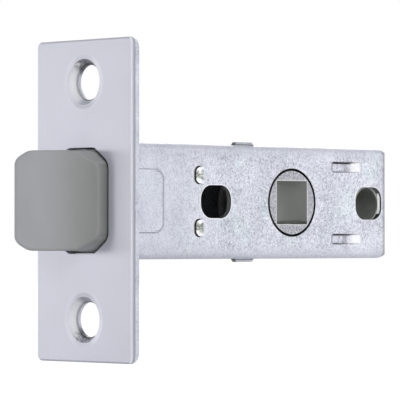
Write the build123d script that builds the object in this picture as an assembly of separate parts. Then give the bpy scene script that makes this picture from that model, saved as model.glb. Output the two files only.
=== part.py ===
from build123d import *
from math import asin, atan2, hypot, radians, sin, tan
import os

os.makedirs("parts", exist_ok=True)

# Interior door latch, in millimetres. The origin is the centre of the face plate's front face.
# +X points into the door, -Y is the near broad side and +Z is up.

# Face plate of two layers
plate_height = 57.0
plate_width = 25.0
front_plate_t = 0.9
rear_plate_t = 0.8
front_corner_r = 1.1
rear_corner_r = 2.0
front_edge_r = 0.35
seam_chamfer = 0.12
edge_notch_z = -1.05
edge_notch_width = 1.1
edge_notch_depth = 0.4

# Dimpled screw holes: the front layer sinks into the rear one
screw_spacing = 42.0
screw_hole_d = 6.2
dimple_d = 8.2
dimple_depth = 1.4
dimple_tip_t = 0.65
ring_base_d = 10.8
ring_top_d = 9.2
ring_rise = 0.4

# Case of folded sheet
case_height = 20.7
case_depth = 15.0
case_end = 70.85
sheet_t = 1.0
bend_r = 1.5
end_corner_r = 1.8
end_bend_r = 0.9
cover_lug_length = 5.0
cover_lug_xs = (11.5, 59.5)
ear_width = 1.6
ear_ys = (-4.9, 5.65)

# Pressings in both broad walls
pad_length = 10.5
pad_height = 11.2
pad_corner_r = 1.7
pad_rise = 0.3
front_hole_x = 25.35
front_hole_width = 7.6
front_hole_height = 5.95
front_hole_corner_r = 2.6
rear_hole_x = 65.77
rear_hole_width = 7.15
rear_hole_height = 6.1
rear_hole_corner_r = 2.3
stop_lance_x = 19.82
stop_lance_length = 2.5
stop_lance_height = 3.3
stop_lance_z = 4.75
stop_lance_corner_r = 1.3
stop_lance_opening = 1.35
stop_lance_tip_r = 1.0
stop_lance_reach = 0.8
rail_lance_x = 55.85
rail_lance_flat = 3.6
rail_lance_ramp = 3.9
rail_lance_height = 1.86
rail_lance_z = 6.73
rail_lance_drop = 0.95
rail_lance_corner_r = 0.4
lance_free_slit = 0.12
lance_root_slit = 0.03

# Latch bolt: eight-sided section with wider cuts on the bevelled side
bolt_width = 12.2
bolt_height = 17.65
bolt_projection = 11.2
bevel_start = 2.0
near_cut_y = 3.5
near_cut_z = 2.45
far_cut_y = 2.0
far_cut_z = 1.6
bolt_corner_r = 2.2
bolt_edge_r = 0.6
bolt_block_length = 6.25
bolt_block_corner_r = 0.7
bolt_pocket_d = 6.6
bolt_pocket_x = -1.0
bolt_face_t = 1.2
bolt_cheek_t = 1.35
bolt_roof_t = 1.2

# Tail of the bolt, folded from strip, and the pins that hold it
tail_t = 1.2
tail_fold_r = 1.5
leg_end_x = 29.6
leg_inner_z = 3.6
pin_d = 2.4
bolt_pin_z = 5.4
bolt_pin_setback = 2.8

# The springs' wire has a plain four-sided section
wire_sides = 4

# Bolt spring and its seat
bolt_spring_d = 6.0
bolt_spring_wire = 0.7
bolt_spring_turns = 4
seat_t = 1.2
seat_corner_r = 0.7
spigot_d = 4.2
spigot_length = 2.5

# Hub
backset = 45.0
spindle_square = 8.0
barrel_d = 11.7
window_d = 12.5
collar_d = 13.6
collar_t = 0.45
lobe_t = 3.0
lobe_width = 3.2
lobe_lean_deg = 35.0
nose_r = 0.45

# Bearing plates
guide_t = 1.0
guide_front_x = 30.5
tab_inset = 0.54
tab_length = 4.93
tab_proud = 0.55
tab_slant = 0.5

# Yoke with its bars and studs
yoke_t = 1.1
yoke_width = 6.6
yoke_fold_r = 1.4
yoke_front_x = 25.5
yoke_pad_length = 3.2
yoke_pad_z = 3.9
bar_t = 2.2
bar_height = 2.2
tenon_inset = 0.4
tenon_height = 1.2
stud_x = 27.1
stud_z = 5.65
stud_reach = 5.0

# Return springs and the block behind them
return_spring_d = 5.0
return_spring_wire = 0.8
return_spring_turns = 3
return_spring_z = 6.0
end_block_t = 3.55
cheek_t = 1.5
cheek_front_x = 62.2
cheek_half_height = 4.9
rear_bore_d = 5.8
rear_bore_x = 66.3
rear_bore_z = -0.15
spring_floor_t = 0.55

# Clearances
fit_gap = 0.05
slide_gap = 0.15
mouth_gap_y = 0.35
mouth_gap_z = 0.55
mouth_cut_gap = 0.2
block_gap_y = 0.2
block_gap_z = 0.25
end_gap = 0.1
bearing_gap = 0.08
collar_gap = 0.1
lobe_gap = 0.15
drive_gap = 0.16
window_gap = 0.3
slot_gap = 0.08
lost_motion_gap = 0.25
pocket_gap = 0.25

# Places worked out from the sizes
plate_back = front_plate_t + rear_plate_t
case_top = case_height / 2
case_side = case_depth / 2
inner_top = case_top - sheet_t
inner_side = case_side - sheet_t
inner_end = case_end - sheet_t
inner_bend_r = bend_r - sheet_t

bolt_shoulder = plate_back + fit_gap
bolt_back = bolt_shoulder + bolt_block_length
block_side = inner_side - block_gap_y
block_top = inner_top - block_gap_z
cavity_front = bolt_shoulder + bolt_face_t
cavity_side = block_side - bolt_cheek_t
cavity_top = block_top - bolt_roof_t

tail_front = cavity_front + fit_gap
tail_side = cavity_side - slide_gap
tail_inner = tail_side - tail_t
tail_top = cavity_top - block_gap_y
bolt_pin_x = tail_front + bolt_pin_setback

tip_centre_x = bolt_projection - bolt_edge_r - bevel_start
tip_centre_y = bolt_width - bolt_edge_r
tip_reach = hypot(tip_centre_x, tip_centre_y)
bevel_angle = atan2(tip_centre_y, tip_centre_x) - asin(bolt_edge_r / tip_reach)
sharp_tip_x = -bevel_start - bolt_width / tan(bevel_angle)

nose_radius = inner_top - lobe_gap - nose_r
lean = radians(lobe_lean_deg)
travel = 2 * nose_radius * sin(lean)

stop_lance_tip = stop_lance_x + stop_lance_opening
stop_lance_hinge = stop_lance_x + stop_lance_length
rail_lance_hinge = rail_lance_x + rail_lance_flat + rail_lance_ramp
seat_back = stop_lance_tip - fit_gap
seat_front = seat_back - seat_t

barrel_r = barrel_d / 2
guide_inner = inner_side - guide_t
guide_rear_x = rail_lance_x - end_gap
guide_top = inner_top - inner_bend_r - fit_gap
collar_side = guide_inner - collar_gap

yoke_side = yoke_width / 2
yoke_inner = yoke_side - yoke_t
yoke_top = inner_top - block_gap_z
yoke_window = barrel_r + window_gap
yoke_web_x = backset + barrel_r + slide_gap
yoke_back = yoke_web_x + yoke_t
bar_front = backset - nose_radius * sin(lean) + nose_r + drive_gap

block_back = inner_end - fit_gap
block_front = block_back - end_block_t
spring_floor = block_back - spring_floor_t
pocket_r = return_spring_d / 2 + pocket_gap


def block(x0, x1, y0, y1, z0, z1):
    """A box from its lowest and highest places along each axis."""
    centre = ((x0 + x1) / 2, (y0 + y1) / 2, (z0 + z1) / 2)
    return Pos(*centre) * Box(x1 - x0, y1 - y0, z1 - z0)


def along_x(sketch, x0, x1):
    """A sketch in Y and Z, from x0 to x1."""
    return extrude(Plane.YZ.offset(x0) * sketch, amount=x1 - x0)


def along_y(sketch, y0, y1):
    """A sketch in X and Z, from y0 to y1."""
    return extrude(Plane.XZ.offset(-y1) * sketch, amount=y1 - y0)


def along_z(sketch, z0, z1):
    """A sketch in X and Y, from z0 to z1."""
    return extrude(Plane.XY.offset(z0) * sketch, amount=z1 - z0)


def rod_x(r, x0, x1, y=0.0, z=0.0):
    return along_x(Pos(y, z) * Circle(r), x0, x1)


def rod_y(r, y0, y1, x=0.0, z=0.0):
    return along_y(Pos(x, z) * Circle(r), y0, y1)


def cone_x(r0, r1, x0, x1, z=0.0):
    """A cone along X, of radius r0 at x0 and r1 at x1."""
    return Pos((x0 + x1) / 2, 0, z) * Rot(0, 90, 0) * Cone(r0, r1, x1 - x0)


def outline(*points):
    return make_face(Polyline(*points, close=True))


def rectangle(x0, x1, y0, y1):
    return Pos((x0 + x1) / 2, (y0 + y1) / 2) * Rectangle(x1 - x0, y1 - y0)


def above_and_below(shape):
    return shape + mirror(shape, about=Plane.XY)


def near_and_far(shape):
    return shape + mirror(shape, about=Plane.XZ)


def save(node, shape):
    solids = shape.solids()
    export_step(solids[0] if len(solids) == 1 else Compound(children=list(solids)),
                f"parts/{node}.step")


# Face plate

def bolt_section(gap_y=0.0, gap_z=0.0, cut_gap=0.0):
    """The bolt's eight-sided section, or the same grown by gaps for the mouth round it."""
    y, z = bolt_width / 2 + gap_y, bolt_height / 2 + gap_z
    near_y, near_z = near_cut_y + cut_gap, near_cut_z + cut_gap
    far_y, far_z = far_cut_y + cut_gap, far_cut_z + cut_gap
    section = outline(
        (-y, z - near_z), (-y + near_y, z), (y - far_y, z), (y, z - far_z),
        (y, far_z - z), (y - far_y, -z), (near_y - y, -z), (-y, near_z - z),
    )
    return fillet(section.vertices(), bolt_corner_r)


def mouth(x0, x1):
    """The bolt's mouth through one layer of the face plate."""
    return along_x(bolt_section(mouth_gap_y, mouth_gap_z, mouth_cut_gap), x0, x1)


def ears(gap=0.0):
    """Ears of the case's top and bottom, staked into the rear layer."""
    half = ear_width / 2 + gap
    ear = [block(front_plate_t, plate_back, y - half, y + half, inner_top - gap, case_top + gap)
           for y in ear_ys]
    return above_and_below(ear[0] + ear[1])


def make_front_plate():
    sheet = along_x(RectangleRounded(plate_width, plate_height, front_corner_r), 0, front_plate_t)
    sheet = fillet(sheet.faces().sort_by(Axis.X)[0].edges(), front_edge_r)
    sheet = chamfer(sheet.faces().sort_by(Axis.X)[-1].edges(), seam_chamfer)
    hole_z = screw_spacing / 2
    dimple = cone_x(dimple_d / 2 + front_plate_t, screw_hole_d / 2 + dimple_tip_t,
                    front_plate_t, dimple_depth, hole_z)
    funnel = cone_x(dimple_d / 2, screw_hole_d / 2, 0, dimple_depth, hole_z)
    return sheet + above_and_below(dimple) - above_and_below(funnel) - mouth(0, front_plate_t)


def make_rear_plate():
    sheet = along_x(RectangleRounded(plate_width, plate_height, rear_corner_r),
                    front_plate_t, plate_back)
    sheet = chamfer(sheet.faces().sort_by(Axis.X)[0].edges(), seam_chamfer)
    hole_z = screw_spacing / 2
    ring = cone_x(ring_base_d / 2, ring_top_d / 2, plate_back, plate_back + ring_rise, hole_z)
    sink = cone_x(dimple_d / 2 + front_plate_t + fit_gap,
                  screw_hole_d / 2 + dimple_tip_t + fit_gap,
                  front_plate_t, dimple_depth + fit_gap, hole_z)
    bore = rod_x(screw_hole_d / 2, front_plate_t, plate_back + ring_rise, 0, hole_z)
    edge = -plate_width / 2
    notch = block(front_plate_t, plate_back, edge, edge + edge_notch_depth,
                  edge_notch_z - edge_notch_width / 2, edge_notch_z + edge_notch_width / 2)
    plate = sheet + above_and_below(ring) - above_and_below(sink + bore)
    return plate - mouth(front_plate_t, plate_back) - ears(fit_gap) - notch


# Case

def side_outline(inset):
    """The case seen from its broad side, with its two round end corners."""
    top = case_top - inset
    sheet = rectangle(plate_back, case_end - inset, -top, top)
    return fillet(sheet.vertices().group_by(Axis.X)[-1], end_corner_r - inset)


def case_form(inset, end_r):
    """The case's outer form, or its hollow: three rounded outlines crossing each other."""
    top, side, end = case_top - inset, case_side - inset, case_end - inset
    across = rectangle(-side, case_side, -top, top)
    across = fillet(across.vertices().group_by(Axis.X)[0], bend_r - inset)
    form = along_x(across, plate_back, end) & along_y(side_outline(inset), -side, case_side)
    if end_r:
        plan = rectangle(plate_back, end, -side, case_side)
        near_end = plan.vertices().group_by(Axis.X)[-1].sort_by(Axis.Y)[0]
        form = form & along_z(fillet(near_end, end_r), -top, top)
    return form


def fixing_hole(x, width, height, corner_r):
    """A wide hole through the near wall, with a short flat on each side."""
    return along_y(Pos(x, 0) * RectangleRounded(width, height, corner_r), -case_side, -inner_side)


def pad(inset, y0, y1):
    """The raised pad next to the face plate, or the pocket behind it."""
    end = plate_back + pad_length - inset
    half = pad_height / 2 - inset
    sheet = rectangle(plate_back, end, -half, half)
    corners = sheet.vertices().group_by(Axis.X)[-1]
    return along_y(fillet(corners, pad_corner_r - inset), y0, y1)


def dee(x0, half, corner_r):
    """A D with its round side towards the face plate, for the stop lance and its window."""
    sheet = rectangle(x0, stop_lance_hinge, stop_lance_z - half, stop_lance_z + half)
    return fillet(sheet.vertices().group_by(Axis.X)[0], corner_r)


def stop_lance_window():
    return dee(stop_lance_x, stop_lance_height / 2, stop_lance_corner_r)


def stop_lance():
    """A short tongue, hinged at the D's straight side and bent in behind the spring seat."""
    tip = -inner_side + stop_lance_reach
    bent = outline((stop_lance_hinge, -case_side), (stop_lance_hinge, -inner_side),
                   (stop_lance_tip, tip), (stop_lance_tip, tip - sheet_t))
    tongue = dee(stop_lance_tip, stop_lance_height / 2 - lance_root_slit, stop_lance_tip_r)
    return along_z(bent, 0, case_top) & along_y(tongue, -case_side, 0)


def rail_lance_strip(free_slit=0.0, root_slit=0.0):
    """A narrow window with a rounded free end, or the tongue in it."""
    x0 = rail_lance_x + free_slit
    free_half = rail_lance_height / 2 - free_slit
    root_half = rail_lance_height / 2 - root_slit
    strip = outline((x0, -free_half), (rail_lance_hinge, -root_half),
                    (rail_lance_hinge, root_half), (x0, free_half))
    return Pos(0, rail_lance_z) * fillet(strip.vertices().group_by(Axis.X)[0],
                                         rail_lance_corner_r)


def rail_lance():
    """A narrow tongue pressed in flat at its free end, then sloping back to the wall."""
    flat_end = rail_lance_x + rail_lance_flat
    outer, inner = -case_side, -inner_side
    bent = outline(
        (rail_lance_x, outer + rail_lance_drop), (flat_end, outer + rail_lance_drop),
        (rail_lance_hinge, outer), (rail_lance_hinge, inner),
        (flat_end, inner + rail_lance_drop), (rail_lance_x, inner + rail_lance_drop),
    )
    tongue = rail_lance_strip(lance_free_slit, lance_root_slit)
    return along_z(bent, 0, case_top) & along_y(tongue, -case_side, 0)


def press(wall):
    """The near wall with its pad, holes and lances."""
    wall = wall + pad(0, -case_side - pad_rise, -case_side)
    wall -= pad(sheet_t / 2, -inner_side - pad_rise, -inner_side)
    wall -= rod_y(window_d / 2, -case_side, -inner_side, backset)
    wall -= fixing_hole(front_hole_x, front_hole_width, front_hole_height, front_hole_corner_r)
    wall -= fixing_hole(rear_hole_x, rear_hole_width, rear_hole_height, rear_hole_corner_r)
    wall -= above_and_below(along_y(stop_lance_window(), -case_side, -inner_side))
    wall -= above_and_below(along_y(rail_lance_strip(), -case_side, -inner_side))
    return wall + above_and_below(stop_lance()) + above_and_below(rail_lance())


def cover_lugs(gap=0.0):
    """Lugs of the cover, flush in notches of the case's top and bottom."""
    half = cover_lug_length / 2 + gap
    lugs = [block(x - half, x + half, inner_side - gap, case_side, inner_top - 2 * fit_gap,
                  case_top) for x in cover_lug_xs]
    return above_and_below(lugs[0] + lugs[1])


def guide_tabs(gap=0.0):
    """Tabs of the near bearing plate, through the top and bottom of the case."""
    x0 = guide_front_x + tab_inset - gap
    x1 = guide_front_x + tab_inset + tab_length + gap
    top = case_top + tab_proud
    tab = outline((x0, guide_top - fit_gap), (x0, case_top), (x0 + tab_slant, top),
                  (x1 - tab_slant, top), (x1, case_top), (x1, guide_top - fit_gap))
    return above_and_below(along_y(tab, -inner_side - gap, -guide_inner + gap))


def make_case_body():
    shell = case_form(0, end_bend_r) - case_form(sheet_t, 0)
    return press(shell) + ears() - guide_tabs(fit_gap) - cover_lugs(fit_gap)


def make_case_cover():
    wall = along_y(side_outline(sheet_t + fit_gap), -case_side, -inner_side)
    return mirror(press(wall), about=Plane.XZ) + cover_lugs()


def make_guide_plate():
    plate = block(guide_front_x, guide_rear_x, -inner_side, -guide_inner, -guide_top, guide_top)
    return plate - rod_y(barrel_r + bearing_gap, -inner_side, -guide_inner, backset)


# Bolt, tail and bolt spring

def bolt_pin(gap=0.0):
    reach = block_side - fit_gap + gap
    return rod_y(pin_d / 2 + gap, -reach, reach, bolt_pin_x, bolt_pin_z)


def make_latch_bolt():
    side = bolt_width / 2
    nose = along_x(bolt_section(), sharp_tip_x, bolt_shoulder)
    nose -= along_z(outline((-bevel_start, -side), (sharp_tip_x, side), (sharp_tip_x, -side)),
                    -bolt_height, bolt_height)
    outward = Vector(-1, -1, 0)
    bevel = max(nose.faces().filter_by(GeomType.PLANE),
                key=lambda face: face.normal_at().dot(outward))
    nose = fillet(bevel.edges(), bolt_edge_r)
    back = along_x(RectangleRounded(2 * block_side, 2 * block_top, bolt_block_corner_r),
                   bolt_shoulder, bolt_back)
    cavity = block(cavity_front, bolt_back, -cavity_side, cavity_side, -cavity_top, cavity_top)
    pocket = rod_x(bolt_pocket_d / 2, bolt_pocket_x, cavity_front)
    return nose + back - cavity - pocket - above_and_below(bolt_pin(fit_gap / 2))


def leg_slot():
    """The slot in which a stud pulls the bolt back, long enough for the bolt to move alone."""
    r = pin_d / 2 + slot_gap
    rear = stud_x + pin_d / 2 + fit_gap
    front = stud_x - pin_d / 2 - travel - lost_motion_gap
    slot = Pos((front + rear) / 2, stud_z) * SlotOverall(rear - front, 2 * r)
    return along_y(slot, -tail_side, tail_side)


def make_bolt_tail():
    plan = rectangle(tail_front, leg_end_x, -tail_side, tail_side)
    plan = fillet(plan.vertices().group_by(Axis.X)[0], tail_fold_r)
    strip = along_z(plan, -tail_top, tail_top)
    strip -= block(tail_front + tail_t, leg_end_x, -tail_inner, tail_inner, -tail_top, tail_top)
    strip -= block(bolt_back, leg_end_x, -tail_side, tail_side, -leg_inner_z, leg_inner_z)
    strip -= rod_x(bolt_pocket_d / 2 + window_gap, tail_front, tail_front + tail_t)
    return strip - above_and_below(leg_slot()) - above_and_below(bolt_pin(fit_gap / 2))


def coil(x0, x1, d, wire, turns, z=0.0):
    """A coil spring along X, its wire just clear of both seats."""
    length = x1 - x0 - wire - 2 * fit_gap
    path = Helix(length / turns, length, (d - wire) / 2)
    section = Plane(path @ 0, z_dir=path % 0) * RegularPolygon(wire / 2, wire_sides)
    spring = sweep(section, path=path, is_frenet=True)
    return Pos(x0 + wire / 2 + fit_gap, 0, z) * Rot(0, 90, 0) * spring


def make_spring_seat():
    y, z = inner_side - slide_gap, inner_top - slide_gap
    seat = along_x(RectangleRounded(2 * y, 2 * z, seat_corner_r), seat_front, seat_back)
    window = block(seat_front, seat_back, tail_inner - slide_gap, tail_side + slide_gap,
                   leg_inner_z - block_gap_y, tail_top + block_gap_y)
    spigot = rod_x(spigot_d / 2, seat_front - spigot_length, seat_front)
    return seat + spigot - near_and_far(above_and_below(window))


# Hub, yoke and return springs

def lobe():
    """The upper lobe at rest, leaning forward: its round nose pushes the yoke's bar."""
    reach = nose_radius + nose_r
    body = rectangle(0, reach, -lobe_width, 0) & Circle(reach)
    nose = Pos(nose_radius, 0) * Circle(nose_r)
    arm = Rot(0, 0, 90 + lobe_lean_deg) * mirror(body + nose, about=Plane.XZ)
    return along_y(Pos(backset, 0) * arm, -lobe_t / 2, lobe_t / 2)


def make_hub():
    barrel = rod_y(barrel_r, -case_side, case_side, backset)
    collar = rod_y(collar_d / 2, -collar_side, -collar_side + collar_t, backset)
    hole = Pos(backset, 0) * Rectangle(spindle_square, spindle_square)
    hub = barrel + near_and_far(collar) + above_and_below(lobe())
    return hub - along_y(hole, -case_side, case_side)


def drive_bar(gap=0.0):
    """The upper bar between the yoke's sides, with a tenon in each."""
    bottom = yoke_top - bar_height
    half = yoke_inner - fit_gap
    bar = block(bar_front, bar_front + bar_t, -half, half, bottom, yoke_top)
    middle = (bottom + yoke_top) / 2
    tenon = block(bar_front + tenon_inset - gap, bar_front + bar_t - tenon_inset + gap,
                  -yoke_side, yoke_side, middle - tenon_height / 2 - gap,
                  middle + tenon_height / 2 + gap)
    return tenon if gap else bar + tenon


def stud(gap=0.0):
    """The upper stud on the yoke's far side."""
    return rod_y(pin_d / 2 + gap, yoke_inner, yoke_side if gap else stud_reach, stud_x, stud_z)


def make_yoke():
    plan = rectangle(yoke_front_x, yoke_back, -yoke_side, yoke_side)
    plan = fillet(plan.vertices().group_by(Axis.X)[-1], yoke_fold_r)
    pad_end = yoke_front_x + yoke_pad_length
    sheet = along_z(plan, -yoke_top, yoke_top)
    sheet -= block(yoke_front_x, yoke_web_x, -yoke_inner, yoke_inner, -yoke_top, yoke_top)
    sheet -= block(pad_end, yoke_web_x, -yoke_side, yoke_side, -yoke_window, yoke_window)
    sheet -= block(yoke_front_x, pad_end, -yoke_side, yoke_side, -yoke_pad_z, yoke_pad_z)
    holes = drive_bar(fit_gap / 2) + near_and_far(stud(fit_gap / 2))
    return sheet - above_and_below(holes)


def make_end_block():
    y, z = inner_side - end_gap, inner_top - slide_gap
    corner = end_corner_r - sheet_t + fit_gap
    ramp_end = rail_lance_hinge + block_gap_y
    body = block(block_front, block_back, -y, y, -z, z)
    cheek = block(ramp_end, block_front, y - cheek_t, y, -z, z)
    cheek += block(cheek_front_x, ramp_end, y - cheek_t, y, -cheek_half_height, cheek_half_height)
    body += near_and_far(cheek)
    body = body & along_x(RectangleRounded(2 * y, 2 * z, inner_bend_r + fit_gap),
                          cheek_front_x, block_back)
    outside = rectangle(cheek_front_x, block_back, -z, z)
    outside = fillet(outside.vertices().group_by(Axis.X)[-1], corner)
    body = body & along_y(outside, -y, y)
    body -= rod_y(rear_bore_d / 2, -y, y, rear_bore_x, rear_bore_z)
    return body - above_and_below(rod_x(pocket_r, block_front, spring_floor, 0, return_spring_z))


def upper_and_lower(name, shape):
    save(f"{name}_upper", shape)
    save(f"{name}_lower", mirror(shape, about=Plane.XY))


save("front_plate", make_front_plate())
save("rear_plate", make_rear_plate())
save("case_body", make_case_body())
save("case_cover", make_case_cover())
save("guide_plate_near", make_guide_plate() + guide_tabs())
save("guide_plate_far", mirror(make_guide_plate(), about=Plane.XZ))
save("latch_bolt", make_latch_bolt())
save("bolt_tail", make_bolt_tail())
upper_and_lower("bolt_pin", bolt_pin())
save("bolt_spring", coil(bolt_pocket_x, seat_front, bolt_spring_d, bolt_spring_wire,
                         bolt_spring_turns))
save("spring_seat", make_spring_seat())
save("hub", make_hub())
save("yoke", make_yoke())
upper_and_lower("drive_bar", drive_bar())
for name, shape in (("far", stud()), ("near", mirror(stud(), about=Plane.XZ))):
    save(f"drive_pin_upper_{name}", shape)
    save(f"drive_pin_lower_{name}", mirror(shape, about=Plane.XY))
for name, sign in (("upper", 1), ("lower", -1)):
    save(f"return_spring_{name}", coil(yoke_back, spring_floor, return_spring_d,
                                       return_spring_wire, return_spring_turns,
                                       sign * return_spring_z))
save("end_block", make_end_block())
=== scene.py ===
from math import cos, pi, radians, sin

import bpy
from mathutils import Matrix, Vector


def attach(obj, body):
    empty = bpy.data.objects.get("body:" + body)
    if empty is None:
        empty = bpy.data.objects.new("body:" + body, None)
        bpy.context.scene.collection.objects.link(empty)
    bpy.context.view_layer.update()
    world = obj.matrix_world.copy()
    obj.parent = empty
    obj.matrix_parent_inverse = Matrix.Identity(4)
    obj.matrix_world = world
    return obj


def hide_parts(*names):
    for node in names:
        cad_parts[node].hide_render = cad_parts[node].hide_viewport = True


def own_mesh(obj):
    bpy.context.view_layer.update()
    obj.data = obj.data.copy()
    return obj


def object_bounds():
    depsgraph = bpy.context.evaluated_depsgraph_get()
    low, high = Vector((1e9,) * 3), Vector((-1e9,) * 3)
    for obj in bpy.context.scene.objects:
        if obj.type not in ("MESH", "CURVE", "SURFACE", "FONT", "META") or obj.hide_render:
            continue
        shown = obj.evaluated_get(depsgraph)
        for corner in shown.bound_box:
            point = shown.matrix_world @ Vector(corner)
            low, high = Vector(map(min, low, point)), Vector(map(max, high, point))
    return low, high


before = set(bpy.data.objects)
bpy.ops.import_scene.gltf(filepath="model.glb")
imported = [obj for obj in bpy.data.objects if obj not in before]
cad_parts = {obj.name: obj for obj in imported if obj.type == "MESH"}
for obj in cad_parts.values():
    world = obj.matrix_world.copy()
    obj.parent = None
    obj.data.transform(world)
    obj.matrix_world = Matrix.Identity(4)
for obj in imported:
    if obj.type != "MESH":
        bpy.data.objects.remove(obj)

cad_box = [list(corner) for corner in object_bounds()]

MM = 0.001

# The photograph's camera, fitted to the face plate and the case
CAMERA_PLACE = (-372.84 * MM, -413.2 * MM, -7.02 * MM)
CAMERA_YAW = 44.173
CAMERA_PITCH = 0.738
FOCAL_PIXELS = 3151.7
PHOTO_PIXELS = 400
SENSOR_MM = 36.0
CLIP_START = 0.01
CLIP_END = 20.0

# The white floor, how much of what is seen of it glows, and the light from all round
FLOOR_GAP = 0.2 * MM
FLOOR_HALF = 3.0
FLOOR_GREY = 0.86
FLOOR_GLOW = 1.22
GLOWING_PART = 0.8
WORLD_FILL = 0.2

# Lamps: places and sizes in metres, all aimed at one point of the case
LAMP_AIM = (0.03, 0, 0)
LAMPS = {
    "key": dict(place=(-0.15, -0.85, 0.3), size=(0.5, 0.5), watts=4.9),
    "side": dict(place=(-0.55, 0.66, 0.02), size=(0.42, 0.11), watts=1.92),
    "back": dict(place=(0.65, 0.55, 0.35), size=(0.5, 0.5), watts=3.5),
}

# How metallic the plated face plate, the galvanised sheets, the hub and the inner steel are
PLATE_METAL = 0.15
SHEET_METAL = 0.35
HUB_METAL = 0.25
STEEL_METAL = 0.8

# Colours that more than one mark has: a painted highlight, painted shade lines and the black of
# painted shade in gaps
PAINTED_HIGHLIGHT = (0.95, 0.96, 0.98)
SHADE_LINE = (0.10, 0.10, 0.12)
GAP_SHADE = (0.004, 0.004, 0.005)

# Places on the part, in millimetres as in its source: the face plate and its screw holes
PLATE_SIDE = 12.5
PLATE_TOP = 28.5
PLATE_EDGE_R = 0.35
SCREW_PLACE = (0.0, 21.0)
SCREW_HOLE_R = 3.1
DIMPLE_R = 4.1
DIMPLE_DEPTH = 1.4

# The case, and along X the free ends, bends and hinges of its rail lances
CASE_SIDE = 7.5
CASE_TOP = 10.35
CASE_END = 70.85
SHEET_T = 1.0
RAIL_FREE_END = 55.85
RAIL_BEND = 59.45
RAIL_HINGE = 63.35
RAIL_Z = 6.73
RAIL_HALF_HEIGHT = 0.93

# The hub in the case's round window and the bearing plates' inner faces
HUB_PLACE = (45.0, 0.0)
BARREL_R = 5.85
SPINDLE_HALF = 4.0
WINDOW_R = 6.25
GUIDE_INNER = 5.5

# The end block's cross bore
REAR_BORE_PLACE = (66.3, -0.15)
REAR_BORE_R = 2.9

# Pressings and openings of the case: centre, half sizes and corner radius
PAD = dict(centre=(6.7, 0.0), half=(5.5, 5.6), r=1.7)
FRONT_HOLE = dict(centre=(25.35, 0.0), half=(3.8, 2.975), r=2.6)
REAR_HOLE = dict(centre=(65.77, 0.0), half=(3.575, 3.05), r=2.3)
STOP_LANCE = dict(centre=(21.07, 4.75), half=(1.25, 1.65), r=1.3)
RAIL_LANCE = dict(centre=((RAIL_FREE_END + RAIL_HINGE) / 2, RAIL_Z),
                  half=((RAIL_HINGE - RAIL_FREE_END) / 2, RAIL_HALF_HEIGHT), r=0.4)

# The three springs: ends along X, outer diameter, wire and turns. The return springs lie above and
# below the axis.
BOLT_SPRING = dict(start=-0.95 * MM, end=19.82 * MM, outer=6.0 * MM, wire=0.7 * MM, turns=9)
RETURN_SPRING = dict(start=52.2 * MM, end=69.15 * MM, outer=5.0 * MM, wire=0.8 * MM, turns=6.5)
RETURN_SPRING_Z = 6.0 * MM

# How a coil is drawn: steps to a turn, sides of the wire, pitch of the tight turns in wires,
# and the share of the coil's length over which its direction is measured
STEPS_PER_TURN = 28
WIRE_SIDES = 10
TIGHT_PITCH = 1.04
LOOK_AHEAD = 0.0005

# Inputs and output of the Mix node that work on colours, and those that work on vectors
COLOUR_A, COLOUR_B, COLOUR_RESULT = 6, 7, 2
VECTOR_A, VECTOR_B, VECTOR_RESULT = 4, 5, 1

# Direction in which the rear hole's burr is made to face
BURR_FACES = (-0.25, -1.0, 0.35)


def make_camera():
    data = bpy.data.cameras.new("camera")
    data.sensor_width = SENSOR_MM
    data.lens = FOCAL_PIXELS / PHOTO_PIXELS * SENSOR_MM
    data.clip_start = CLIP_START
    data.clip_end = CLIP_END
    camera = bpy.data.objects.new("camera", data)
    camera.location = CAMERA_PLACE
    camera.rotation_euler = (radians(90 + CAMERA_PITCH), 0, radians(-CAMERA_YAW))
    bpy.context.scene.collection.objects.link(camera)
    bpy.context.scene.camera = camera


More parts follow.
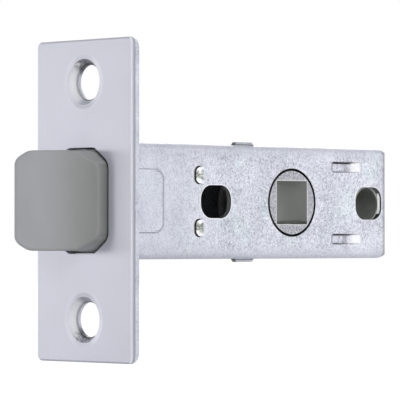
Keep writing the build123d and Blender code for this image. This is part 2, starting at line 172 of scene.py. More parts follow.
class Nodes:
    """A material's node tree, with short calls for the nodes that the finishes share.

    depth and level are the distances from the middle plane and from the bolt's axis,
    and sideways is 1 on a surface that faces a broad side and 0 on one across it.
    """

    def __init__(self, name):
        self.material = bpy.data.materials.new(name)
        self.material.use_nodes = True
        self.tree = self.material.node_tree
        self.shader = self.tree.nodes["Principled BSDF"]
        coordinates = self.add("ShaderNodeTexCoord")
        self.place = coordinates.outputs["Object"]
        self.x, self.y, self.z = self.split(self.stretched((1, 1, 1)))
        self.normal_x, self.normal_y, self.normal_z = self.split(coordinates.outputs["Normal"])
        self.depth = self.size(self.y)
        self.level = self.size(self.z)
        self.sideways = self.size(self.normal_y)
        self.plan = (self.x, self.z)

    def add(self, kind, **values):
        node = self.tree.nodes.new(kind)
        for key, value in values.items():
            setattr(node, key, value)
        return node

    def link(self, source, target):
        self.tree.links.new(source, target)

    def split(self, vector):
        node = self.add("ShaderNodeSeparateXYZ")
        self.link(vector, node.inputs[0])
        return node.outputs

    def stretched(self, scale):
        """The place on the object, in millimetres, stretched by a scale along each axis."""
        node = self.add("ShaderNodeMapping")
        node.inputs["Scale"].default_value = [value / MM for value in scale]
        self.link(self.place, node.inputs["Vector"])
        return node.outputs["Vector"]

    def noise(self, size_mm, detail=2.0, rough=0.5, scale=(1, 1, 1)):
        node = self.add("ShaderNodeTexNoise")
        node.inputs["Scale"].default_value = 1.0 / size_mm
        node.inputs["Detail"].default_value = detail
        node.inputs["Roughness"].default_value = rough
        self.link(self.stretched(scale), node.inputs["Vector"])
        return node.outputs["Fac"]

    def cells(self, size_mm):
        """A random grey for each cell of a Voronoi pattern."""
        node = self.add("ShaderNodeTexVoronoi")
        node.inputs["Scale"].default_value = 1.0 / size_mm
        self.link(self.stretched((1, 1, 1)), node.inputs["Vector"])
        grey = self.add("ShaderNodeSeparateColor")
        self.link(node.outputs["Color"], grey.inputs["Color"])
        return grey.outputs["Red"]

    def math(self, operation, a, b=0.0):
        node = self.add("ShaderNodeMath", operation=operation)
        for socket, value in zip(node.inputs, (a, b)):
            if isinstance(value, (int, float)):
                socket.default_value = value
            else:
                self.link(value, socket)
        return node.outputs[0]

    def size(self, value):
        return self.math("ABSOLUTE", value)

    def all_of(self, *masks):
        total = masks[0]
        for mask in masks[1:]:
            total = self.math("MULTIPLY", total, mask)
        return total

    def fade(self, value, start, end):
        """0 at the start, 1 at the end and smooth between; it falls where the start is higher."""
        node = self.add("ShaderNodeMapRange", interpolation_type="SMOOTHSTEP")
        node.inputs["From Min"].default_value = start
        node.inputs["From Max"].default_value = end
        self.link(value, node.inputs["Value"])
        return node.outputs["Result"]

    def between(self, value, low, high, soft=0.04):
        """1 where a value lies between two limits, with soft edges."""
        return self.all_of(self.fade(value, low - soft, low + soft),
                           self.fade(value, high + soft, high - soft))

    def from_box(self, pair, centre, half, r):
        """Distance along two axes from a rounded rectangle's edge, negative inside it."""
        out = []
        for value, middle, reach in zip(pair, centre, half):
            away = self.size(self.math("SUBTRACT", value, middle))
            out.append(self.math("SUBTRACT", away, reach - r))
        squares = [self.math("POWER", self.math("MAXIMUM", part, 0.0), 2.0) for part in out]
        corner = self.math("SQRT", self.math("ADD", *squares))
        inside = self.math("MINIMUM", self.math("MAXIMUM", *out), 0.0)
        return self.math("SUBTRACT", self.math("ADD", corner, inside), r)

    def from_circle(self, pair, centre, r=0.0):
        """Distance along two axes from a circle's edge, or from its centre."""
        return self.from_box(pair, centre, (r, r), r)

    def weigh(self, *pairs):
        """0.5 plus the sum of each pattern's departure from 0.5, times its weight."""
        total = 0.5
        for pattern, weight in pairs:
            part = self.math("MULTIPLY", self.math("SUBTRACT", pattern, 0.5), weight)
            total = self.math("ADD", part, total)
        return total

    def ramp(self, value, *stops):
        node = self.add("ShaderNodeValToRGB")
        elements = node.color_ramp.elements
        while len(elements) < len(stops):
            elements.new(1.0)
        for element, (position, colour) in zip(elements, stops):
            element.position = position
            element.color = (*colour, 1.0)
        self.link(value, node.inputs["Fac"])
        return node.outputs["Color"]

    def paint(self, colour, mask, other, strength=1.0, how="MIX"):
        """A colour with another one laid over it, or multiplied into it, where the mask is."""
        node = self.add("ShaderNodeMix", data_type="RGBA", blend_type=how)
        if strength != 1.0:
            mask = self.math("MULTIPLY", mask, strength)
        self.link(mask, node.inputs[0])
        self.link(colour, node.inputs[COLOUR_A])
        if isinstance(other, tuple):
            node.inputs[COLOUR_B].default_value = (*other, 1.0)
        else:
            self.link(other, node.inputs[COLOUR_B])
        return node.outputs[COLOUR_RESULT]

    def dim(self, colour, mask, brightness):
        """A colour brought down, or up, to a share of its brightness where the mask is."""
        return self.paint(colour, mask, (brightness,) * 3, how="MULTIPLY")

    def spread(self, value, low, high):
        """A value from 0 to 1 stretched to run from low to high."""
        node = self.add("ShaderNodeMapRange")
        node.inputs["To Min"].default_value = low
        node.inputs["To Max"].default_value = high
        self.link(value, node.inputs["Value"])
        return node.outputs["Result"]

    def bump(self, height, depth_mm, edge_mm):
        """Fine relief, on edges that are shaded as if they were rounded."""
        edge = self.add("ShaderNodeBevel", samples=4)
        edge.inputs["Radius"].default_value = edge_mm * MM
        node = self.add("ShaderNodeBump")
        node.inputs["Distance"].default_value = depth_mm * MM
        self.link(height, node.inputs["Height"])
        self.link(edge.outputs["Normal"], node.inputs["Normal"])
        self.link(node.outputs["Normal"], self.shader.inputs["Normal"])

    def turn_shading(self, mask, towards):
        """Shade a small edge as if it faced another way where the mask is."""
        turned = self.add("ShaderNodeMix", data_type="VECTOR")
        self.link(mask, turned.inputs[0])
        self.link(self.shader.inputs["Normal"].links[0].from_socket, turned.inputs[VECTOR_A])
        turned.inputs[VECTOR_B].default_value = towards
        unit = self.add("ShaderNodeVectorMath", operation="NORMALIZE")
        self.link(turned.outputs[VECTOR_RESULT], unit.inputs[0])
        self.link(unit.outputs[0], self.shader.inputs["Normal"])

    def finish(self, metallic, roughness, colour, specular=0.5):
        self.shader.inputs["Metallic"].default_value = metallic
        self.shader.inputs["Specular IOR Level"].default_value = specular
        self.link(roughness, self.shader.inputs["Roughness"])
        self.link(colour, self.shader.inputs["Base Color"])
        return self.material


def screw_holes(nodes):
    """Distance from a screw hole's axis, and how far a surface faces that end of the plate."""
    r = nodes.from_circle((nodes.y, nodes.level), SCREW_PLACE)
    endward = nodes.math("MULTIPLY", nodes.normal_z, nodes.math("SIGN", nodes.z))
    return r, endward


def funnel_light_and_shade(nodes, colour, r, funnel, endward):
    """Painted light in the screw holes' funnels: highlights on their sides and rim, shade at the top,
    streaked dark reflections and a dark inner ring.
    """
    # Painted highlights on the funnel's sides and round its outer edge
    flank_highlight = nodes.all_of(funnel, nodes.fade(nodes.sideways, 0.15, 0.5))
    colour = nodes.paint(colour, flank_highlight, (0.96, 0.97, 1.0))
    lip_highlight = nodes.all_of(nodes.between(r, DIMPLE_R - 0.19, DIMPLE_R + 0.81, 0.35),
                       nodes.fade(nodes.depth, 1.2, 3.6))
    colour = nodes.paint(colour, lip_highlight, (0.80, 0.81, 0.89), 0.8)
    # Painted shade at the funnel's top
    top = nodes.all_of(funnel, nodes.fade(nodes.normal_z, -0.2, -0.75),
                       nodes.fade(nodes.y, 2.4, 0.4))
    colour = nodes.dim(colour, top, 0.7)
    # Painted reflections as dark stripes, and painted shade further in, on the side towards the
    # plate's end
    reflection_streaks = nodes.fade(nodes.noise(0.8, 2.0, 0.6, (2.5, 1, 1)), 0.35, 0.6)
    end_flank = nodes.all_of(funnel, nodes.fade(endward, -0.3, -0.7),
                             nodes.fade(nodes.y, 3.4, 2.2))
    deep_shade = nodes.fade(nodes.x, DIMPLE_DEPTH - 0.9, DIMPLE_DEPTH - 0.2)
    for mask in (reflection_streaks, deep_shade):
        colour = nodes.dim(colour, nodes.all_of(end_flank, mask), 0.45)
    # Painted shade as a dark ring at the funnel's inner end
    inner_ring_shade = nodes.all_of(funnel, nodes.between(nodes.x, DIMPLE_DEPTH - 0.28,
                                                    DIMPLE_DEPTH + 0.1, 0.1))
    return nodes.dim(colour, inner_ring_shade, 0.62)


def satin_plate():
    """Satin plating on the front layer: a smooth lilac grey, duller and darkened with painted shade on
    its sheared edges.
    """
    nodes = Nodes("satin_plate")
    grain = nodes.noise(0.22, 3.0, 0.6, (1, 1, 0.06))
    cloud = nodes.noise(9.0, 2.0)
    value = nodes.weigh((grain, 0.4), (cloud, 0.9))
    colour = nodes.ramp(value, (0.2, (0.600, 0.612, 0.700)), (0.8, (0.650, 0.662, 0.745)))

    rim = nodes.math("MAXIMUM", nodes.fade(nodes.depth, PLATE_SIDE - 0.4, PLATE_SIDE - 0.2),
                     nodes.fade(nodes.level, PLATE_TOP - 0.4, PLATE_TOP - 0.2))
    # Painted shade: the sheared edge band of the front layer is darkened
    sheared = nodes.all_of(rim, nodes.fade(nodes.x, PLATE_EDGE_R - 0.11, PLATE_EDGE_R - 0.01))
    colour = nodes.dim(colour, sheared, 0.66)
    # Painted highlight along the near rounded rim of the front layer
    edge_highlight = nodes.all_of(nodes.fade(nodes.depth, PLATE_SIDE - 0.9, PLATE_SIDE - 0.7),
                            nodes.between(nodes.sideways, 0.12, 0.76, 0.1),
                            nodes.fade(nodes.x, PLATE_EDGE_R + 0.05, PLATE_EDGE_R - 0.05))
    colour = nodes.paint(colour, edge_highlight, (0.94, 0.95, 1.0), 0.95)

    r, endward = screw_holes(nodes)
    funnel = nodes.all_of(nodes.fade(r, DIMPLE_R + 0.16, DIMPLE_R - 0.09),
                          nodes.fade(nodes.x, 0.0, 0.08))
    # Painted light and shade in the screw holes' funnels
    colour = funnel_light_and_shade(nodes, colour, r, funnel, endward)
    rolled = nodes.fade(r, DIMPLE_R + 0.76, DIMPLE_R + 0.01)
    nodes.bump(nodes.weigh((grain, 0.05), (rolled, -1.0)), 0.09, 0.12)
    dull = nodes.math("MULTIPLY", nodes.math("MAXIMUM", rim, funnel), 0.8)
    roughness = nodes.math("MAXIMUM", nodes.spread(value, 0.42, 0.54), dull)
    return nodes.finish(PLATE_METAL, roughness, colour)


def spangle(nodes, contrast=1.0):
    """Galvanised sheet: fine crisp specks on small spangle, with large soft patches."""
    cell = nodes.cells(0.7)
    mottle = nodes.noise(0.40, 2.0, 0.7, (1, 1, 0.75))
    grit = nodes.noise(0.27, 1.0, 0.5)
    drawn = nodes.noise(0.5, 2.0, 0.6, (1, 1, 0.25))
    patch = nodes.noise(5.0, 2.0, 0.5)
    value = nodes.weigh((cell, 0.2 * contrast), (mottle, 1.4 * contrast),
                        (grit, 1.7 * contrast), (drawn, 0.6 * contrast), (patch, 0.9))
    colour = nodes.ramp(value, (0.02, (0.40, 0.405, 0.47)), (0.46, (0.675, 0.69, 0.79)),
                        (0.62, (0.72, 0.735, 0.83)), (0.98, (0.89, 0.91, 0.96)))
    pits = nodes.noise(0.55, 1.0)
    colour = nodes.dim(colour, nodes.fade(pits, 0.70, 0.78), 1.0 - 0.4 * contrast)
    tint = nodes.noise(7.0, 1.0)
    colour = nodes.paint(colour, nodes.fade(tint, 0.45, 0.75), (0.95, 1.0, 0.97), 0.8, "MULTIPLY")
    nodes.bump(nodes.weigh((mottle, 1.0), (grit, 0.6)), 0.02, 0.1)
    return value, colour


def galvanised():
    """The rear layer, with painted shade in its screw holes on the side towards the plate's end."""
    nodes = Nodes("galvanised")
    value, colour = spangle(nodes, 0.45)
    r, endward = screw_holes(nodes)
    # Painted shade in the screw holes, on the side towards the plate's end
    bore = nodes.all_of(nodes.fade(r, SCREW_HOLE_R + 0.21, SCREW_HOLE_R + 0.11),
                        nodes.fade(endward, -0.3, -0.75))
    colour = nodes.dim(colour, bore, 0.25)
    colour = nodes.dim(colour, nodes.fade(nodes.depth, PLATE_SIDE - 0.5, PLATE_SIDE - 0.2), 0.9)
    return nodes.finish(SHEET_METAL, nodes.spread(value, 0.38, 0.62), colour)


def broad_tones(nodes, colour):
    """Calmer sheet at the case's folds and front, darker corners there, a lighter rear part."""
    calm = nodes.math("MAXIMUM", nodes.fade(nodes.level, 7.6, 9.4), nodes.fade(nodes.x, 32.0, 12.0))
    colour = nodes.paint(colour, calm, (0.635, 0.65, 0.735), 0.5)
    front_fold = nodes.all_of(nodes.fade(nodes.level, 6.5, 8.8), nodes.fade(nodes.x, 40.0, 15.0))
    colour = nodes.dim(colour, front_fold, 0.92)
    rear_part = nodes.all_of(nodes.fade(nodes.x, 48.0, 60.0), nodes.fade(nodes.x, 68.5, 66.5))
    return nodes.dim(colour, rear_part, 1.06)


def hole_rims(nodes, colour, face, front_hole, rear_hole, stop_lance):
    """Painted highlights as thin light rims round the openings, and painted glints on burrs at the
    front of the rear hole.
    """
    # Painted highlight: a thin light rim round each opening
    for hole, strength in ((front_hole, 0.85), (rear_hole, 0.5), (stop_lance, 0.45)):
        rim = nodes.all_of(face, nodes.between(hole, 0.04, 0.2, 0.05))
        colour = nodes.paint(colour, rim, PAINTED_HIGHLIGHT, strength)
    # Painted glints on the burrs at the front of the rear hole
    spots = nodes.fade(nodes.noise(0.45), 0.48, 0.56)
    rear_x = REAR_HOLE["centre"][0]
    front_end = nodes.fade(nodes.x, rear_x - 2.37, rear_x - 2.97)
    burr_glints = nodes.all_of(face, nodes.between(rear_hole, 0.0, 0.34, 0.08), front_end, spots)
    return nodes.paint(colour, burr_glints, (1.0, 1.0, 1.0), 0.9)


def rail_lance_marks(nodes, colour, face):
    """Painted shade at the rail lances' edges, ends and crease, and painted light on their flat part
    and ramp.
    """
    lance = nodes.from_box((nodes.x, nodes.level), **RAIL_LANCE)
    # Painted shade lines along the lances' edges
    edge = nodes.all_of(nodes.between(lance, -0.16, 0.08, 0.05),
                        nodes.fade(nodes.x, RAIL_HINGE - 1.35, RAIL_FREE_END + 1.15))
    colour = nodes.paint(colour, edge, SHADE_LINE, 0.75)

    upper_edge, lower_edge = RAIL_Z + RAIL_HALF_HEIGHT, RAIL_HALF_HEIGHT - RAIL_Z
    upper_shade = nodes.between(nodes.z, upper_edge - 0.3, upper_edge + 0.06, 0.05)
    lower_shade = nodes.between(nodes.z, lower_edge - 0.3, lower_edge + 0.02, 0.05)
    lower_shade = nodes.math("MULTIPLY", lower_shade, 0.72)
    shade = nodes.all_of(nodes.math("MAXIMUM", upper_shade, lower_shade),
                         nodes.between(nodes.x, RAIL_FREE_END + 0.05, RAIL_HINGE - 0.75, 0.4),
                         nodes.fade(nodes.x, RAIL_HINGE - 0.35, RAIL_HINGE - 2.35))
    colour = nodes.paint(colour, shade, (0.03, 0.03, 0.035), 0.9)
    # Painted shade at the lances' free ends
    end_line = nodes.all_of(face, nodes.between(nodes.x, RAIL_FREE_END - 0.3, RAIL_FREE_END, 0.06),
                            nodes.between(nodes.level, RAIL_Z - 0.73, RAIL_Z + 0.82, 0.15))
    colour = nodes.paint(colour, end_line, (0.14, 0.14, 0.16), 0.6)

    # Painted shade in the crease at the bend, and the sunk flat part brightened as painted light
    inside = nodes.fade(lance, -0.1, -0.16)
    crease = nodes.all_of(inside, nodes.between(nodes.x, RAIL_BEND + 0.25, RAIL_BEND + 1.25, 0.4))
    colour = nodes.dim(colour, crease, 0.66)
    flat = nodes.all_of(inside, nodes.fade(nodes.x, RAIL_BEND + 0.15, RAIL_BEND - 0.15))
    colour = nodes.dim(colour, flat, 1.1)
    # Painted highlight on the ramp
    ramp = nodes.all_of(nodes.between(nodes.x, RAIL_HINGE - 1.95, RAIL_HINGE + 0.35, 0.6),
                        nodes.fade(lance, 0.5, -0.16))
    return nodes.paint(colour, ramp, PAINTED_HIGHLIGHT, 0.75)


def stop_lance_marks(nodes, colour, face, stop_lance):
    """The stop lances' tongues: painted shade in the middle, painted highlights towards both ends, a
    shade line round them.
    """
    tongue = nodes.all_of(nodes.fade(stop_lance, 0.02, -0.02),
                          nodes.fade(nodes.depth, CASE_SIDE - 0.01, CASE_SIDE - 0.1))
    # Painted light and shade on the tongue, made ragged by noise: dark at the middle, light towards
    # both ends
    lobe_noise = nodes.noise(0.55, 2.0, 0.6, (0.7, 1, 1))
    from_middle = nodes.size(nodes.math("SUBTRACT", nodes.level, 4.7))
    ragged = nodes.math("MULTIPLY", nodes.math("SUBTRACT", lobe_noise, 0.5), 2.2)
    tongue_light_and_shade = nodes.ramp(nodes.math("ADD", from_middle, ragged),
                       (0.0, (0.55, 0.58, 0.54)), (0.14, (0.10, 0.11, 0.09)),
                       (0.36, (0.24, 0.26, 0.23)), (0.58, (0.50, 0.53, 0.49)),
                       (1.0, (0.92, 0.94, 0.92)))
    colour = nodes.paint(colour, tongue, tongue_light_and_shade, 0.95)
    # Painted shade line round the tongue
    line = nodes.all_of(face, nodes.between(stop_lance, -0.02, 0.07, 0.03))
    return nodes.paint(colour, line, SHADE_LINE, 0.6)


def fold_lines(nodes, colour):
    """Painted shade lines at the pad's step, at the bend to the case's end and along its folds."""
    pad = nodes.from_box(nodes.plan, **PAD)
    step = nodes.between(pad, -0.06, 0.12, 0.05)
    second_line = nodes.all_of(nodes.between(pad, -0.42, -0.14, 0.06),
                               nodes.fade(nodes.x, 9.5, 11.0))
    step = nodes.all_of(nodes.math("MAXIMUM", step, second_line), nodes.fade(nodes.x, 1.8, 2.0))
    end_bend = nodes.all_of(nodes.fade(nodes.x, CASE_END - 1.55, CASE_END - 0.55),
                            nodes.fade(nodes.depth, CASE_SIDE - 0.9, CASE_SIDE - 0.6))
    # Painted shade at the pad's step and at the end bend
    for mask in (step, end_bend):
        colour = nodes.dim(colour, mask, 0.55)
    # Painted shade along the folds
    return nodes.dim(colour, nodes.fade(nodes.level, CASE_TOP - 1.15, CASE_TOP - 0.35), 0.9)


def cut_edges(nodes, colour):
    """Painted shade on sheared edges, paler in two places, black painted shade by the hub, and a
    painted highlight on the rear burr.
    """
    front_x, rear_x = FRONT_HOLE["centre"][0], REAR_HOLE["centre"][0]
    across = nodes.fade(nodes.sideways, 0.7, 0.5)
    in_wall = nodes.between(nodes.depth, CASE_SIDE - SHEET_T - 0.1, CASE_SIDE + 0.03, 0.02)
    # Painted shade on the openings' sheared edges, which are also bare cut metal
    sheared = nodes.all_of(across, in_wall, nodes.between(nodes.x, 15.0, 70.0),
                           nodes.fade(nodes.level, 8.6, 8.5))
    colour = nodes.paint(colour, sheared, (0.04, 0.042, 0.046))
    # Paler painted shade on the upper rear edge and at the front hole's end
    upper_rear = nodes.all_of(sheared, nodes.fade(nodes.x, rear_x + 0.23, rear_x + 1.23),
                              nodes.fade(nodes.z, 0.0, 1.0))
    colour = nodes.paint(colour, upper_rear, (0.19, 0.195, 0.20))
    front_hole_end = nodes.all_of(sheared, nodes.between(nodes.x, front_x + 2.25, front_x + 4.15, 0.4),
                                  nodes.fade(nodes.depth, CASE_SIDE - 0.15, CASE_SIDE - 0.4))
    colour = nodes.paint(colour, front_hole_end, (0.26, 0.26, 0.25))

    # Painted black shade in the gap round the hub's window
    window = nodes.from_circle(nodes.plan, HUB_PLACE, WINDOW_R)
    ring = nodes.all_of(nodes.fade(nodes.depth, CASE_SIDE - 1.2, CASE_SIDE - 1.1),
                        nodes.between(window, -0.1, 0.07, 0.03))
    colour = nodes.paint(colour, ring, GAP_SHADE)
    # Painted highlight on the rear hole's burr, which is also shaded as if it faced outwards
    burr = nodes.all_of(across, nodes.fade(nodes.x, rear_x + 3.13, rear_x + 3.33),
                        nodes.fade(nodes.x, rear_x + 3.83, rear_x + 3.73),
                        nodes.fade(nodes.level, 2.1, 1.8),
                        nodes.between(nodes.depth, CASE_SIDE - 1.0, CASE_SIDE - 0.4, 0.1))
    nodes.turn_shading(burr, BURR_FACES)
    return nodes.paint(colour, burr, (0.97, 0.98, 0.97))


def case_sheet():
    """The case's sheet, with painted shade on its sheared edges and lance creases, and painted
    highlights on its rims.
    """
    nodes = Nodes("case_sheet")
    value, colour = spangle(nodes)
    face = nodes.all_of(nodes.fade(nodes.sideways, 0.6, 0.8),
                        nodes.fade(nodes.depth, CASE_SIDE - 0.2, CASE_SIDE - 0.1))
    front_hole = nodes.from_box(nodes.plan, **FRONT_HOLE)
    rear_hole = nodes.from_box(nodes.plan, **REAR_HOLE)
    stop_lance = nodes.from_box((nodes.x, nodes.level), **STOP_LANCE)

    colour = broad_tones(nodes, colour)
    colour = hole_rims(nodes, colour, face, front_hole, rear_hole, stop_lance)
    colour = rail_lance_marks(nodes, colour, face)
    colour = stop_lance_marks(nodes, colour, face, stop_lance)
    colour = fold_lines(nodes, colour)

    colour = cut_edges(nodes, colour)
    return nodes.finish(SHEET_METAL, nodes.spread(value, 0.38, 0.62), colour)


def bearing_sheet():
    """The bearing plates: grease and painted shade inside, painted black shade close to the hub, and
    darker tabs with painted shade.
    """
    nodes = Nodes("bearing_sheet")
    value, colour = spangle(nodes, 0.7)
    # The tabs darker
    tab = nodes.fade(nodes.level, CASE_TOP - 0.05, CASE_TOP + 0.01)
    colour = nodes.dim(colour, tab, 0.62)
    # Grease and painted shade inside the case
    grease_and_shade = nodes.fade(nodes.level, 9.2, 8.6)
    colour = nodes.dim(colour, grease_and_shade, 0.4)
    # Painted shade at the tabs' foot and on their slanted ends
    foot = nodes.all_of(tab, nodes.fade(nodes.level, CASE_TOP + 0.21, CASE_TOP + 0.11))
    slant = nodes.all_of(tab, nodes.fade(nodes.normal_x, -0.3, -0.6))
    for mask in (foot, slant):
        colour = nodes.dim(colour, mask, 0.3)
    # Painted black shade close to the hub
    r = nodes.from_circle(nodes.plan, HUB_PLACE)
    by_hub = nodes.fade(r, WINDOW_R + 0.35, WINDOW_R + 0.25)
    colour = nodes.paint(colour, by_hub, GAP_SHADE)
    return nodes.finish(SHEET_METAL, nodes.spread(value, 0.4, 0.62), colour)


def bright_steel(name, dark, light, grain_mm=0.4):
    """Zinc-plated or bright steel with fine scratches along the case."""
    nodes = Nodes(name)
    grain = nodes.noise(grain_mm, 3.0, 0.6, (0.15, 1, 1))
    patch = nodes.noise(3.0, 2.0)
    value = nodes.weigh((grain, 0.7), (patch, 0.7))
    nodes.bump(grain, 0.006, 0.06)
    colour = nodes.ramp(value, (0.2, dark), (0.8, light))
    return nodes.finish(STEEL_METAL, nodes.spread(value, 0.3, 0.5), colour)


def barrel_marks(nodes, colour, r, across):
    """The hub's barrel: grease and painted shade at its ends, painted glints and a painted highlight
    between the bearing plates.
    """
    barrel = nodes.all_of(across, nodes.fade(r, BARREL_R - 0.13, BARREL_R - 0.07))
    # Grease and painted shade at the barrel's ends
    grease_and_shade = nodes.ramp(nodes.noise(0.5, 2.0, 0.6, (0.1, 1, 0.06)),
                         (0.35, (0.03, 0.031, 0.03)), (0.6, (0.07, 0.071, 0.067)),
                         (0.72, (0.22, 0.22, 0.21)))
    colour = nodes.paint(colour, barrel, grease_and_shade)
    # Painted glints on the barrel between the bearing plates
    barrel_glints = nodes.ramp(nodes.noise(0.6, 2.0, 0.6, (0.1, 1, 0.1)),
                      (0.35, (0.12, 0.12, 0.115)), (0.6, (0.40, 0.40, 0.39)),
                      (0.72, (0.90, 0.90, 0.88)))
    inner = nodes.fade(nodes.depth, GUIDE_INNER, GUIDE_INNER - 0.3)
    colour = nodes.paint(colour, nodes.all_of(barrel, inner), barrel_glints)
    # Painted highlight on the step beside the barrel
    shoulder_highlight = nodes.all_of(nodes.fade(r, BARREL_R, BARREL_R + 0.1),
                            nodes.fade(across, 0.6, 0.4), inner)
    return nodes.paint(colour, shoulder_highlight, (0.85, 0.85, 0.84), 0.8)


def spindle_hole_grey(nodes):
    """Smooth grey, with painted light at the hole's top and painted shade at its bottom."""
    grey = nodes.ramp(nodes.noise(2.5, 2.0, 0.5, (1, 1, 0.5)),
                      (0.3, (0.43, 0.46, 0.43)), (0.7, (0.49, 0.50, 0.485)))
    bands = nodes.fade(nodes.noise(0.8, 2.0, 0.5, (0.2, 0.2, 1.6)), 0.3, 0.5)
    top = nodes.fade(nodes.z, SPINDLE_HALF - 1.0, SPINDLE_HALF - 0.3)
    bottom = nodes.fade(nodes.z, 1.0 - SPINDLE_HALF, 0.4 - SPINDLE_HALF)
    # Painted light at the top, painted shade at the bottom
    for end, brightness in ((top, 1.15), (bottom, 0.47)):
        grey = nodes.dim(grey, nodes.all_of(end, bands), brightness)
    return grey


def cast_zinc():
    """The hub: sandy end faces, a painted highlight round the square, a barrel darkened by grease and
    painted shade, and a smooth grey square hole.
    """
    nodes = Nodes("cast_zinc")
    grit = nodes.noise(0.15, 3.0, 0.75)
    sand = nodes.noise(0.4, 2.0, 0.6)
    value = nodes.weigh((grit, 2.4), (sand, 1.0))
    colour = nodes.ramp(value, (0.1, (0.09, 0.095, 0.11)), (0.5, (0.46, 0.47, 0.52)),
                        (0.85, (0.78, 0.79, 0.86)))
    across = nodes.fade(nodes.sideways, 0.7, 0.5)
    square = nodes.from_box(nodes.plan, HUB_PLACE, (SPINDLE_HALF, SPINDLE_HALF), 0.01)
    # Painted highlight along the square hole's edges
    colour = nodes.paint(colour, nodes.between(square, 0.0, 0.16, 0.05), (0.80, 0.81, 0.80), 0.8)
    r = nodes.from_circle(nodes.plan, HUB_PLACE)
    colour = barrel_marks(nodes, colour, r, across)
    hole = nodes.all_of(across, nodes.fade(square, 0.08, 0.05))
    colour = nodes.paint(colour, hole, spindle_hole_grey(nodes))
    nodes.bump(grit, 0.03, 0.06)
    roughness = nodes.math("MAXIMUM", nodes.spread(value, 0.4, 0.65),
                           nodes.math("MULTIPLY", across, 0.7))
    return nodes.finish(HUB_METAL, roughness, colour)


def bolt_plastic():
    """The bolt's moulded plastic, with painted shade that makes it darker and greener towards its heel
    and on its near side.
    """
    nodes = Nodes("bolt_plastic")
    grain = nodes.noise(0.25, 3.0, 0.6)
    flow = nodes.noise(5.0, 2.0, 0.5, (1, 1, 0.4))
    value = nodes.weigh((grain, 0.35), (flow, 0.9))
    colour = nodes.ramp(value, (0.2, (0.425, 0.431, 0.450)), (0.8, (0.483, 0.489, 0.508)))
    # Painted shade: darker and greener towards the heel
    heel = nodes.fade(nodes.y, 2.2, -7.4)
    colour = nodes.paint(colour, heel, (0.60, 0.62, 0.57), how="MULTIPLY")
    # Painted shade on the near side face
    near_side_shade = nodes.all_of(nodes.fade(nodes.normal_y, -0.75, -0.95), nodes.fade(nodes.x, -2.8, 0.0))
    colour = nodes.dim(colour, near_side_shade, 0.6)
    nodes.bump(grain, 0.006, 0.1)
    return nodes.finish(0.0, nodes.spread(value, 0.45, 0.58), colour, 0.35)


def block_plastic():
    """The end block's dark plastic: painted light on its broad sides, and a painted shade line round
    its cross bore.
    """
    nodes = Nodes("block_plastic")
    grain = nodes.noise(0.25, 3.0, 0.6)
    flow = nodes.noise(3.0, 2.0, 0.5)
    value = nodes.weigh((grain, 0.5), (flow, 1.2))
    colour = nodes.ramp(value, (0.2, (0.19, 0.21, 0.195)), (0.8, (0.27, 0.292, 0.274)))
    # Painted light: the broad sides made paler
    broad_side = nodes.fade(nodes.sideways, 0.7, 0.9)
    colour = nodes.dim(colour, broad_side, 1.6)
    r = nodes.from_circle(nodes.plan, REAR_BORE_PLACE)
    # Painted shade line round the cross bore
    bore_edge_shade = nodes.all_of(broad_side, nodes.fade(r, REAR_BORE_R + 0.17, REAR_BORE_R + 0.1))
    colour = nodes.dim(colour, bore_edge_shade, 0.12)
    nodes.bump(grain, 0.006, 0.1)
    return nodes.finish(0.0, nodes.spread(value, 0.42, 0.56), colour, 0.4)


def dress(material, *nodes):
    for node in nodes:
        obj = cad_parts[node]
        obj.data.materials.clear()
        obj.data.materials.append(material)


def coil_mesh(name, start, end, outer, wire, turns, z):
    """A coil of round wire along X, closed at both ends, with its end turns wound tight."""
    radius = (outer - wire) / 2
    steps = int(turns * STEPS_PER_TURN)
    length = end - start - wire
    points, faces = [], []

    def centre(t):
        """The wire's middle: close-wound for one turn at each end, and open between them."""
        turn = t * turns
        tight = wire * TIGHT_PITCH
        if turn < 1:
            x = turn * tight
        elif turn > turns - 1:
            x = length - (turns - turn) * tight
        else:
            x = tight + (length - 2 * tight) * (turn - 1) / (turns - 2)
        angle = 2 * pi * turn
        return Vector((start + wire / 2 + x, radius * cos(angle), z + radius * sin(angle)))

    for step in range(steps + 1):
        t = step / steps
        before, after = centre(max(0, t - LOOK_AHEAD)), centre(min(1, t + LOOK_AHEAD))
        ahead = (after - before).normalized()
        middle = centre(t)
        radial = Vector((0, middle.y, middle.z - z))
        side = ahead.cross(radial).normalized()
        outward = side.cross(ahead)
        for corner in range(WIRE_SIDES):
            angle = 2 * pi * corner / WIRE_SIDES
            points.append(middle + wire / 2 * (cos(angle) * outward + sin(angle) * side))
    for step in range(steps):
        for corner in range(WIRE_SIDES):
            a = step * WIRE_SIDES + corner
            b = step * WIRE_SIDES + (corner + 1) % WIRE_SIDES
            faces.append((a, b, b + WIRE_SIDES, a + WIRE_SIDES))
    faces.append(tuple(reversed(range(WIRE_SIDES))))
    faces.append(tuple(range(steps * WIRE_SIDES, (steps + 1) * WIRE_SIDES)))
    mesh = bpy.data.meshes.new(name)
    mesh.from_pydata(points, [], faces)
    mesh.polygons.foreach_set("use_smooth", [True] * (len(faces) - 2) + [False] * 2)
    mesh.validate()
    return mesh


def add_spring(name, node, material, spring, z=0.0):
    """The real coil in place of the plain one, which is hidden, carried by the case."""
    obj = bpy.data.objects.new(name, coil_mesh(name, z=z, **spring))
    bpy.context.scene.collection.objects.link(obj)
    obj.data.materials.append(material)
    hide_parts(node)
    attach(obj, "case")
    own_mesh(obj)


def seen_by(tree, *rays):
    """1 for rays of the named kinds, 0 for all others."""
    path = tree.nodes.new("ShaderNodeLightPath")
    seen = path.outputs[rays[0]]
    for ray in rays[1:]:
        larger = tree.nodes.new("ShaderNodeMath")
        larger.operation = "MAXIMUM"
        tree.links.new(seen, larger.inputs[0])
        tree.links.new(path.outputs[ray], larger.inputs[1])
        seen = larger.outputs[0]
    return seen


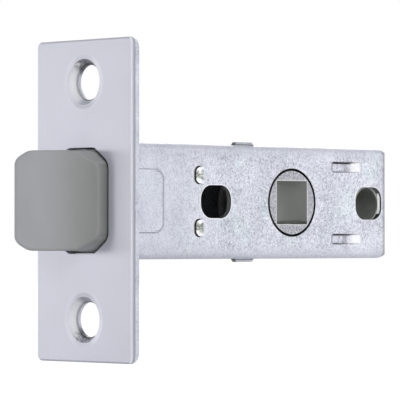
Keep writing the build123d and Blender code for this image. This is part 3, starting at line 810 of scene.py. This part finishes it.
def floor_white():
    """White to the camera and to reflections, with the object's soft shadow kept on it."""
    material = bpy.data.materials.new("floor_white")
    material.use_nodes = True
    tree = material.node_tree
    shader = tree.nodes["Principled BSDF"]
    shader.inputs["Base Color"].default_value = (FLOOR_GREY, FLOOR_GREY, FLOOR_GREY, 1)
    shader.inputs["Roughness"].default_value = 0.9
    shader.inputs["Specular IOR Level"].default_value = 0.0
    glow = tree.nodes.new("ShaderNodeEmission")
    glow.inputs["Strength"].default_value = FLOOR_GLOW
    part = tree.nodes.new("ShaderNodeMath")
    part.operation = "MULTIPLY"
    part.inputs[1].default_value = GLOWING_PART
    mix = tree.nodes.new("ShaderNodeMixShader")
    tree.links.new(seen_by(tree, "Is Camera Ray", "Is Glossy Ray"), part.inputs[0])
    tree.links.new(part.outputs[0], mix.inputs["Fac"])
    tree.links.new(shader.outputs[0], mix.inputs[1])
    tree.links.new(glow.outputs[0], mix.inputs[2])
    tree.links.new(mix.outputs[0], tree.nodes["Material Output"].inputs["Surface"])
    return material


def make_floor():
    z = cad_box[0][2] - FLOOR_GAP
    half = FLOOR_HALF
    mesh = bpy.data.meshes.new("floor")
    corners = [(-half, -half, z), (half, -half, z), (half, half, z), (-half, half, z)]
    mesh.from_pydata(corners, [], [(0, 1, 2, 3)])
    floor = bpy.data.objects.new("floor", mesh)
    floor.data.materials.append(floor_white())
    bpy.context.scene.collection.objects.link(floor)


def make_world():
    """White behind the object and in reflections, and much weaker as a light."""
    world = bpy.data.worlds.new("world")
    bpy.context.scene.world = world
    world.use_nodes = True
    tree = world.node_tree
    background = tree.nodes["Background"]
    background.inputs["Color"].default_value = (1, 1, 1, 1)
    level = tree.nodes.new("ShaderNodeMapRange")
    level.inputs["To Min"].default_value = WORLD_FILL
    level.inputs["To Max"].default_value = 1.0
    seen = seen_by(tree, "Is Camera Ray", "Is Glossy Ray", "Is Transmission Ray")
    tree.links.new(seen, level.inputs["Value"])
    tree.links.new(level.outputs["Result"], background.inputs["Strength"])


def add_lamp(name, place, size, watts):
    data = bpy.data.lights.new(name, "AREA")
    data.shape = "RECTANGLE"
    data.size, data.size_y = size
    data.energy = watts
    lamp = bpy.data.objects.new(name, data)
    lamp.location = place
    lamp.rotation_euler = (Vector(LAMP_AIM) - Vector(place)).to_track_quat("-Z", "Y").to_euler()
    bpy.context.scene.collection.objects.link(lamp)


make_camera()

inner_steel = bright_steel("inner_steel", (0.42, 0.42, 0.43), (0.58, 0.58, 0.59))
spring_steel = bright_steel("spring_steel", (0.30, 0.30, 0.31), (0.50, 0.50, 0.51), 0.2)

dress(satin_plate(), "front_plate")
dress(galvanised(), "rear_plate")
dress(case_sheet(), "case_body", "case_cover")
dress(bearing_sheet(), "guide_plate_near", "guide_plate_far")
dress(inner_steel, "bolt_tail", "spring_seat", "yoke", "bolt_pin_upper", "bolt_pin_lower",
      "drive_bar_upper", "drive_bar_lower", "drive_pin_upper_near", "drive_pin_upper_far",
      "drive_pin_lower_near", "drive_pin_lower_far")
dress(cast_zinc(), "hub")
dress(bolt_plastic(), "latch_bolt")
dress(block_plastic(), "end_block")

add_spring("bolt_coil", "bolt_spring", spring_steel, BOLT_SPRING)
for half, z in (("upper", RETURN_SPRING_Z), ("lower", -RETURN_SPRING_Z)):
    add_spring(f"return_coil_{half}", f"return_spring_{half}", spring_steel,
               RETURN_SPRING, z)

make_floor()
make_world()
for name, lamp in LAMPS.items():
    add_lamp(name, **lamp)
bpy.context.scene.view_settings.view_transform = "Standard"
